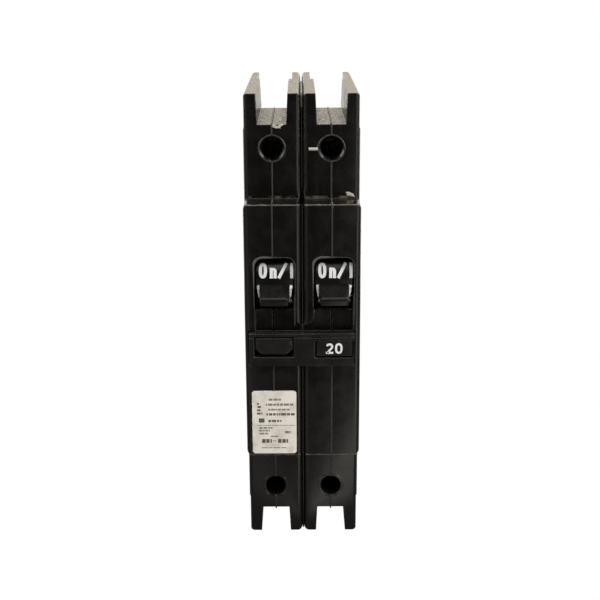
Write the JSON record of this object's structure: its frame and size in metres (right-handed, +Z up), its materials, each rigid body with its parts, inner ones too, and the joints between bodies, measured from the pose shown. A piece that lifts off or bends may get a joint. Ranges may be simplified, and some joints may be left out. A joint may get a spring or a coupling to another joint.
{
  "type": "gfci breaker",
  "caption": "Two-pole ground-fault breaker with fins and wire bays at both ends, twin toggle handles, a test button strip and lug terminals.",
  "frame": {"origin": "centre of the bounding box across and front to back, at the tips of the load-end fins on which the breaker stands", "axes": "+Z up from the load end to the line end, -Y to the front with the handles, +X to the right seen from the front"},
  "size_m": [0.0382, 0.0932, 0.155],
  "materials": {
    "case_black": "moulded, satin, slightly dusty",
    "strip_black": "moulded, satin",
    "button_black": "moulded, satin",
    "insert_black": "moulded, satin, with printed digits",
    "handle_black": "moulded, semi-gloss, with a printed legend",
    "latch_black": "moulded, satin",
    "label_cream": "printed label",
    "lug_aluminium": "tin plated",
    "zinc_steel": "zinc plated",
    "bare_steel": "bright",
    "copper": "copper",
    "contact_silver": "silver alloy",
    "fibre": "brown fibre",
    "board_green": "coated board",
    "winding": "varnished winding with tape",
    "wire_jacket": "insulated wire"
  },
  "bodies": {
    "case": {"left_outer_shell": "case_black", "left_inner_shell": "case_black", "left_line_lug": "lug_aluminium", "left_line_screw": "zinc_steel", "left_line_strap": "copper", "left_load_lug": "lug_aluminium", "left_load_screw": "zinc_steel", "left_load_strap": "copper", "left_fixed_contact": "contact_silver", "left_arm_pin": "bare_steel", "left_arc_chute": "bare_steel", "left_bimetal": "zinc_steel", "left_magnet_yoke": "bare_steel", "left_braid": "copper", "left_load_wire": "wire_jacket", "right_outer_shell": "case_black", "right_inner_shell": "case_black", "right_line_lug": "lug_aluminium", "right_line_screw": "zinc_steel", "right_line_strap": "copper", "right_load_lug": "lug_aluminium", "right_load_screw": "zinc_steel", "right_load_strap": "copper", "right_fixed_contact": "contact_silver", "right_arm_pin": "bare_steel", "right_arc_chute": "bare_steel", "right_bimetal": "zinc_steel", "right_magnet_yoke": "bare_steel", "right_braid": "copper", "right_load_wire": "wire_jacket", "test_bezel": "strip_black", "test_button_spring": "bare_steel", "test_switch": "fibre", "rating_insert": "insert_black", "front_label": "label_cream", "circuit_board": "board_green", "current_transformer": "winding", "solenoid": "winding", "rivet_1": "bare_steel", "rivet_2": "bare_steel", "rivet_3": "bare_steel", "rivet_4": "bare_steel", "rivet_5": "bare_steel", "rivet_6": "bare_steel"},
    "handles": {"left_handle": "handle_black", "right_handle": "handle_black", "handle_shaft": "bare_steel"},
    "left_arm": {"left_contact_arm": "copper", "left_moving_contact": "contact_silver"},
    "right_arm": {"right_contact_arm": "copper", "right_moving_contact": "contact_silver"},
    "left_armature": {"left_armature": "bare_steel"},
    "right_armature": {"right_armature": "bare_steel"},
    "trip_bar": {"trip_bar": "fibre"},
    "plunger": {"plunger": "bare_steel"},
    "test_button": {"test_button": "button_black"},
    "left_latch": {"left_rail_latch": "latch_black"},
    "right_latch": {"right_rail_latch": "latch_black"}
  },
  "joints": [
    {"name": "handle_turn", "type": "hinge", "parent": "case", "child": "handles", "pos_m": [0, -0.02988, 0.0952], "axis": [-1, 0, 0], "range_deg": [0, 38]},
    {"name": "left_arm_open", "type": "hinge", "parent": "case", "child": "left_arm", "pos_m": [-0.00967, -0.01018, 0.098], "axis": [-1, 0, 0], "range_deg": [0, 19]},
    {"name": "right_arm_open", "type": "hinge", "parent": "case", "child": "right_arm", "pos_m": [0.00967, -0.01018, 0.098], "axis": [-1, 0, 0], "range_deg": [0, 19]},
    {"name": "left_armature_tilt", "type": "hinge", "parent": "case", "child": "left_armature", "pos_m": [-0.00967, 0.00752, 0.0825], "axis": [1, 0, 0], "range_deg": [0, 4], "stiffness_Nm_per_rad": 0.02},
    {"name": "right_armature_tilt", "type": "hinge", "parent": "case", "child": "right_armature", "pos_m": [0.00967, 0.00752, 0.0825], "axis": [1, 0, 0], "range_deg": [0, 4], "stiffness_Nm_per_rad": 0.02},
    {"name": "trip_bar_turn", "type": "hinge", "parent": "case", "child": "trip_bar", "pos_m": [0, -0.00918, 0.072], "axis": [1, 0, 0], "range_deg": [0, 8]},
    {"name": "plunger_slide", "type": "slide", "parent": "case", "child": "plunger", "axis": [0, 0, 1], "range_m": [0, 0.0011], "stiffness_N_per_m": 350},
    {"name": "test_button_press", "type": "slide", "parent": "case", "child": "test_button", "axis": [0, 1, 0], "range_m": [0, 0.0018], "stiffness_N_per_m": 400, "deforming": ["test_button_spring"]},
    {"name": "left_latch_slide", "type": "slide", "parent": "case", "child": "left_latch", "axis": [0, 0, -1], "range_m": [0, 0.005], "stiffness_N_per_m": 600},
    {"name": "right_latch_slide", "type": "slide", "parent": "case", "child": "right_latch", "axis": [0, 0, -1], "range_m": [0, 0.005], "stiffness_N_per_m": 600}
  ],
  "couplings": [
    {"joint": "left_arm_open", "follows": "handle_turn", "ratio": 0.5},
    {"joint": "right_arm_open", "follows": "handle_turn", "ratio": 0.5},
    {"joint": "trip_bar_turn", "follows": "plunger_slide", "rad_per_m": 126.9}
  ]
}
